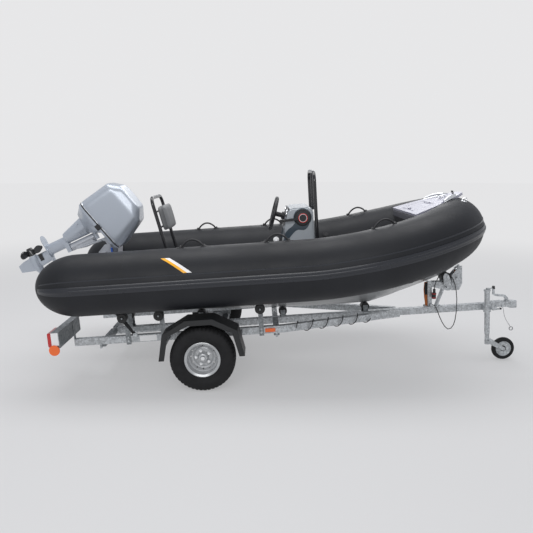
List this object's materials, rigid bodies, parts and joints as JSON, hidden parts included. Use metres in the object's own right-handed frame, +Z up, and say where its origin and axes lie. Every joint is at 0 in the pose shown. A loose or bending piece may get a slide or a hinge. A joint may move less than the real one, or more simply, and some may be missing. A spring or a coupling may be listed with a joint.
{
  "type": "rigid inflatable boat on its road trailer",
  "caption": "Rigid inflatable boat with black tubes, console, tilted outboard engine, on a galvanised single-axle trailer with jockey wheel.",
  "frame": {"origin": "on the floor under the middle of the whole length and width", "axes": "+X to the bow and the coupling, +Y to port, +Z up"},
  "size_m": [4.6194, 1.88, 1.748],
  "materials": {
    "tube_fabric": "coated fabric, satin",
    "strake_rubber": "ribbed, satin",
    "hull_gelcoat": "gelcoat",
    "deck_gelcoat": "gelcoat, non-slip",
    "console_gelcoat": "silver gelcoat",
    "black_tube": "powder coat",
    "black_plastic": "fine grain",
    "cushion_vinyl": "padded vinyl",
    "engine_silver": "silver lacquer",
    "engine_alloy": "satin cast",
    "engine_block": "plain",
    "screw_black": "gloss black",
    "galvanised": "hot-dip galvanised spangle",
    "roller_rubber": "smooth",
    "webbing": "woven",
    "tyre_rubber": "road tyre",
    "rim_steel": "silver lacquer",
    "red_lens": "lamp lens",
    "orange_lens": "reflector",
    "cable_black": "cable sheath",
    "wire_steel": "stranded"
  },
  "bodies": {
    "boat_and_trailer": {"hull": "hull_gelcoat", "cockpit_floor": "deck_gelcoat", "transom": "deck_gelcoat", "collar": "tube_fabric", "rub_strake": "strake_rubber", "bow_deck": "deck_gelcoat", "bow_locker": "deck_gelcoat", "bow_eye": "galvanised", "console": "console_gelcoat", "remote_control": "black_plastic", "console_hoop": "black_tube", "steering_column": "black_plastic", "seat_base": "deck_gelcoat", "backrest_hoop": "black_tube", "backrest_pad": "cushion_vinyl", "clamp_bracket": "engine_alloy", "drawbar": "galvanised", "left_rail": "galvanised", "right_rail": "galvanised", "crossmembers": "galvanised", "axle": "galvanised", "left_fender": "black_plastic", "right_fender": "black_plastic", "fender_stays": "galvanised", "roller_brackets": "galvanised", "keel_rollers": "roller_rubber", "side_rollers": "roller_rubber", "winch_post": "galvanised", "bow_roller": "roller_rubber", "winch": "galvanised", "winch_strap": "webbing", "coupling": "galvanised", "coupling_handle": "galvanised", "jockey_clamp": "galvanised", "jockey_tube": "galvanised", "lamp_boards": "galvanised", "rear_lamps": "red_lens", "side_markers": "orange_lens", "rail_cable": "cable_black", "trailer_cable": "cable_black", "trailer_plug": "black_plastic", "breakaway_cable": "wire_steel", "breakaway_clip": "galvanised"},
    "left_wheel": {"left_tyre": "tyre_rubber", "left_rim": "rim_steel"},
    "right_wheel": {"right_tyre": "tyre_rubber", "right_rim": "rim_steel"},
    "jockey_caster": {"jockey_fork": "galvanised"},
    "jockey_roll": {"jockey_wheel": "roller_rubber"},
    "engine_swivel": {"swivel_bracket": "engine_alloy"},
    "engine": {"engine_pan": "engine_silver", "cowl": "engine_silver", "powerhead": "engine_block", "midsection": "engine_silver", "gearcase": "engine_silver"},
    "screw": {"propeller": "screw_black"},
    "helm": {"steering_wheel": "black_plastic"},
    "bow_hatch": {"bow_lid": "deck_gelcoat"},
    "seat_hatch": {"seat_lid": "deck_gelcoat", "seat_cushion": "cushion_vinyl"}
  },
  "joints": [
    {"name": "left_wheel_spin", "type": "hinge", "parent": "boat_and_trailer", "child": "left_wheel", "pos_m": [-0.559, 0.765, 0.265], "axis": [0, 1, 0], "continuous": true},
    {"name": "right_wheel_spin", "type": "hinge", "parent": "boat_and_trailer", "child": "right_wheel", "pos_m": [-0.559, -0.765, 0.265], "axis": [0, 1, 0], "continuous": true},
    {"name": "jockey_swivel", "type": "hinge", "parent": "boat_and_trailer", "child": "jockey_caster", "pos_m": [2.01797, -0.09, 0.17667], "axis": [-0.0645, 0, 0.9979], "continuous": true},
    {"name": "jockey_spin", "type": "hinge", "parent": "jockey_caster", "child": "jockey_roll", "pos_m": [2.17, -0.09, 0.104], "axis": [0, 1, 0], "continuous": true},
    {"name": "engine_tilt", "type": "hinge", "parent": "boat_and_trailer", "child": "engine_swivel", "pos_m": [-1.45488, 0, 1.06942], "axis": [0, 1, 0], "range_deg": [-66, 0]},
    {"name": "engine_steer", "type": "hinge", "parent": "engine_swivel", "child": "engine", "pos_m": [-1.69319, 0, 1.10724], "axis": [0.9063, 0, 0.4226], "range_deg": [-30, 30]},
    {"name": "screw_spin", "type": "hinge", "parent": "engine", "child": "screw", "pos_m": [-2.17738, 0, 0.97194], "axis": [-0.4226, 0, 0.9063], "continuous": true},
    {"name": "helm_turn", "type": "hinge", "parent": "boat_and_trailer", "child": "helm", "pos_m": [0.02648, 0, 1.35962], "axis": [-0.9732, 0, 0.23], "range_deg": [-540, 540]},
    {"name": "bow_hatch_hinge", "type": "hinge", "parent": "boat_and_trailer", "child": "bow_hatch", "pos_m": [1.4193, 0, 1.4589], "axis": [0, 1, 0], "range_deg": [0, 95]},
    {"name": "seat_hinge", "type": "hinge", "parent": "boat_and_trailer", "child": "seat_hatch", "pos_m": [-0.53444, 0, 0.96059], "axis": [0, 1, 0], "range_deg": [0, 85]}
  ],
  "couplings": [
    {"joint": "helm_turn", "follows": "engine_steer", "ratio": -18}
  ]
}
